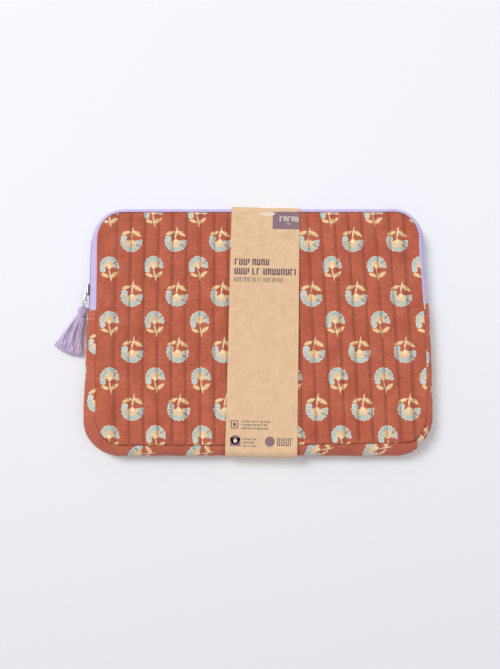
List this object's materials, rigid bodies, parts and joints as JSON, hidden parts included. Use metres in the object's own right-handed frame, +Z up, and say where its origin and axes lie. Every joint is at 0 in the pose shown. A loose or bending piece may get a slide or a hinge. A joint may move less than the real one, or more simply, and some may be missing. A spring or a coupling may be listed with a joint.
{
  "type": "laptop sleeve",
  "caption": "Flat quilted cotton laptop sleeve with a padded front and back, a zip round the top, a tassel on the zip pull and a cardboard belly band.",
  "frame": {"origin": "under the middle of the sleeve's outline, on the plane of the belly band's rear wall, which it lies on", "axes": "+X along the sleeve's length, away from the tassel; +Y towards the zip edge; +Z up through the thickness"},
  "size_m": [0.3917, 0.2622, 0.0227],
  "materials": {
    "printed_cotton": "quilted plain-weave cotton, terracotta, with a floral block print",
    "wadding": "loose polyester wadding",
    "lining_cotton": "plain cotton lining",
    "sewing_thread": "spun sewing thread",
    "zip_tape": "woven polyester zip tape, lilac",
    "zip_coil": "polyester coil, darker lilac",
    "nickel_plate": "nickel-plated zinc casting, worn bright",
    "tassel_yarn": "soft cotton yarn, mauve",
    "kraft_board": "unbleached kraft board with a dark one-colour print"
  },
  "bodies": {
    "sleeve": {"rear_panel_cloth": "printed_cotton", "rear_wadding": "wadding", "rear_lining": "lining_cotton", "rear_quilting_thread": "sewing_thread", "front_panel_cloth": "printed_cotton", "front_wadding": "wadding", "front_lining": "lining_cotton", "front_quilting_thread": "sewing_thread", "gusset_shell": "printed_cotton", "gusset_lining": "lining_cotton", "gusset_end_stitching": "sewing_thread", "rear_seam_binding": "lining_cotton", "front_seam_binding": "lining_cotton", "rear_zip_tape": "zip_tape", "rear_zip_coil": "zip_coil", "front_zip_tape_ends": "zip_tape", "front_zip_coil_ends": "zip_coil"},
    "mouth_flap": {"mouth_flap_cloth": "printed_cotton", "mouth_flap_wadding": "wadding", "mouth_flap_lining": "lining_cotton", "mouth_flap_quilting_thread": "sewing_thread", "mouth_flap_seam_binding": "lining_cotton", "front_zip_tape": "zip_tape", "front_zip_coil": "zip_coil"},
    "slider": {"slider_body": "nickel_plate"},
    "pull": {"pull_tab": "nickel_plate", "jump_ring": "nickel_plate"},
    "tassel": {"tassel_loop": "tassel_yarn", "tassel_head": "tassel_yarn", "tassel_neck_binding": "tassel_yarn", "tassel_skirt": "tassel_yarn"},
    "band": {"band_wrap": "kraft_board"},
    "band_top": {"band_front_top": "kraft_board"}
  },
  "joints": [
    {"name": "mouth_fold", "type": "hinge", "parent": "sleeve", "child": "mouth_flap", "pos_m": [0, 0.054, 0.0227], "axis": [1, 0, 0], "range_deg": [0, 60]},
    {"name": "slider_travel", "type": "slide", "parent": "sleeve", "child": "slider", "axis": [0, 1, 0], "range_m": [0, 0.04]},
    {"name": "pull_swing", "type": "hinge", "parent": "slider", "child": "pull", "pos_m": [-0.1789, 0.042, 0.01135], "axis": [0, 0, 1], "range_deg": [-80, 2]},
    {"name": "tassel_swing", "type": "hinge", "parent": "pull", "child": "tassel", "pos_m": [-0.18078, 0.03015, 0.01135], "axis": [0, 0, 1], "range_deg": [-60, 4]},
    {"name": "band_slide", "type": "slide", "parent": "sleeve", "child": "band", "axis": [1, 0, 0], "range_m": [-0.13, 0.22]},
    {"name": "band_fold", "type": "hinge", "parent": "band", "child": "band_top", "pos_m": [0, 0.054, 0.0227], "axis": [1, 0, 0], "range_deg": [0, 60]}
  ],
  "couplings": [
    {"joint": "band_fold", "follows": "mouth_fold", "ratio": 1}
  ]
}
